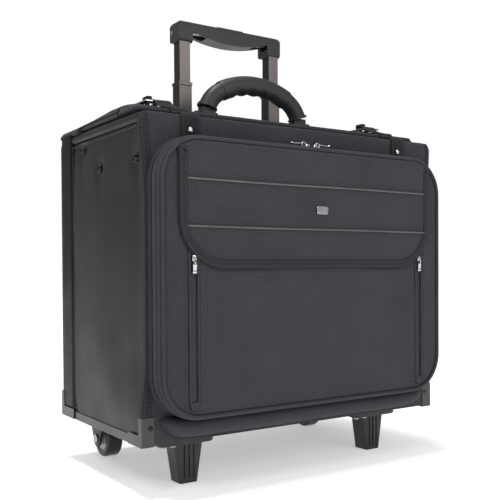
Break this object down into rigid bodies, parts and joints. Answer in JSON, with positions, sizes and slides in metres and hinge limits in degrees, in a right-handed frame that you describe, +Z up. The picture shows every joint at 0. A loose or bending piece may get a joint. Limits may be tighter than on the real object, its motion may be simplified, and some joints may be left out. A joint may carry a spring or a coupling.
{
  "type": "pilot rolling flight case",
  "caption": "Box-shaped rolling pilot case with a zipped front pocket and flap, strap-locked lid, arched carry handle, telescopic pull handle, rear wheels and front feet.",
  "frame": {"origin": "on the floor, under the middle of the whole case's bounding box", "axes": "+Z up, -Y towards the front pocket, +X to the right seen from the front, along the wheel axles"},
  "size_m": [0.4594, 0.2854, 0.607],
  "materials": {
    "cloth": "matte woven polyester",
    "side_vinyl": "embossed vinyl",
    "lining": "smooth lining",
    "webbing": "coated webbing",
    "brown_metal": "hammered paint",
    "grey_moulding": "satin",
    "stripe": "satin piping",
    "black_plastic": "fine texture",
    "tube_aluminium": "anodised",
    "steel": "satin",
    "bright_metal": "nickel plated",
    "wheel_rubber": "satin",
    "hub_plastic": "painted"
  },
  "bodies": {
    "case": {"front_panel": "cloth", "back_panel": "cloth", "left_side_panel": "side_vinyl", "right_side_panel": "side_vinyl", "bottom_panel": "cloth", "top_deck": "cloth", "trolley_shroud": "lining", "file_divider": "lining", "side_rims": "side_vinyl", "front_corner_protectors": "brown_metal", "rear_corner_protectors": "brown_metal", "corner_screws": "steel", "dome_rivets": "bright_metal", "edge_strips": "grey_moulding", "left_foot": "black_plastic", "right_foot": "black_plastic", "foot_screws": "steel", "left_wheel_housing": "black_plastic", "right_wheel_housing": "black_plastic", "axles": "steel", "outer_tubes": "tube_aluminium", "tube_base_bracket": "black_plastic", "deck_bezels": "black_plastic", "handle_brackets": "black_plastic", "lock_bases": "cloth", "strap_anchors": "webbing", "pocket_gusset": "cloth", "pocket_zip": "webbing", "handle_pins": "steel"},
    "front_lid": {"front_flap": "cloth", "strap_pads": "cloth", "straps": "webbing", "hasp_plates": "bright_metal"},
    "lock_left": {"left_lock_knob": "bright_metal"},
    "lock_right": {"right_lock_knob": "bright_metal"},
    "carry_handle": {"handle_frame": "black_plastic", "handle_grip": "black_plastic"},
    "pull_handle_lower": {"mid_tubes": "tube_aluminium", "mid_collars": "black_plastic"},
    "pull_handle_upper": {"inner_tubes": "tube_aluminium", "tube_plugs": "black_plastic", "grip_lower_shell": "black_plastic", "grip_upper_shell": "black_plastic", "grip_screws": "steel"},
    "release": {"release_button": "black_plastic", "release_yoke": "steel", "button_spring": "steel"},
    "wheel_left": {"left_tyre": "wheel_rubber", "left_hub": "hub_plastic"},
    "wheel_right": {"right_tyre": "wheel_rubber", "right_hub": "hub_plastic"},
    "pocket_front": {"pocket_panel": "cloth", "pocket_piping": "side_vinyl"},
    "flap": {"pocket_flap": "cloth", "flap_stripes": "stripe", "badge": "bright_metal"},
    "top_zip_left": {"left_top_slider": "bright_metal"},
    "top_zip_right": {"right_top_slider": "bright_metal"},
    "side_zip_left": {"left_side_slider": "bright_metal"},
    "side_zip_right": {"right_side_slider": "bright_metal"}
  },
  "joints": [
    {"name": "lid_hinge", "type": "hinge", "parent": "case", "child": "front_lid", "pos_m": [0, -0.0869, 0.4425], "axis": [1, 0, 0], "range_deg": [0, 130]},
    {"name": "lock_turn_left", "type": "hinge", "parent": "case", "child": "lock_left", "pos_m": [-0.176, -0.0224, 0.46], "axis": [0, 0, 1], "range_deg": [0, 90]},
    {"name": "lock_turn_right", "type": "hinge", "parent": "case", "child": "lock_right", "pos_m": [0.176, -0.0224, 0.46], "axis": [0, 0, -1], "range_deg": [0, 90]},
    {"name": "carry_handle_fold", "type": "hinge", "parent": "case", "child": "carry_handle", "pos_m": [0, 0.0016, 0.461], "axis": [1, 0, 0], "range_deg": [0, 75]},
    {"name": "pull_stage_lower", "type": "slide", "parent": "case", "child": "pull_handle_lower", "axis": [0, 0, 1], "range_m": [-0.062, 0.2]},
    {"name": "pull_stage_upper", "type": "slide", "parent": "pull_handle_lower", "child": "pull_handle_upper", "axis": [0, 0, 1], "range_m": [-0.055, 0.2]},
    {"name": "release_press", "type": "slide", "parent": "pull_handle_upper", "child": "release", "axis": [0, 0, -1], "range_m": [0, 0.004], "stiffness_N_per_m": 600, "springref_m": -0.004, "deforming": ["button_spring"]},
    {"name": "wheel_spin_left", "type": "hinge", "parent": "case", "child": "wheel_left", "pos_m": [-0.175, 0.1096, 0.026], "axis": [1, 0, 0], "continuous": true},
    {"name": "wheel_spin_right", "type": "hinge", "parent": "case", "child": "wheel_right", "pos_m": [0.175, 0.1096, 0.026], "axis": [1, 0, 0], "continuous": true},
    {"name": "pocket_drop", "type": "hinge", "parent": "case", "child": "pocket_front", "pos_m": [0, -0.1169, 0.089], "axis": [1, 0, 0], "range_deg": [0, 40]},
    {"name": "flap_lift", "type": "hinge", "parent": "pocket_front", "child": "flap", "pos_m": [0, -0.1389, 0.4035], "axis": [-1, 0, 0], "range_deg": [0, 120]},
    {"name": "top_zip_slide_left", "type": "slide", "parent": "case", "child": "top_zip_left", "axis": [-1, 0, 0], "range_m": [0, 0.12]},
    {"name": "top_zip_slide_right", "type": "slide", "parent": "case", "child": "top_zip_right", "axis": [1, 0, 0], "range_m": [0, 0.12]},
    {"name": "side_zip_slide_left", "type": "slide", "parent": "pocket_front", "child": "side_zip_left", "axis": [0, 0, -1], "range_m": [0, 0.13]},
    {"name": "side_zip_slide_right", "type": "slide", "parent": "pocket_front", "child": "side_zip_right", "axis": [0, 0, -1], "range_m": [0, 0.13]}
  ]
}
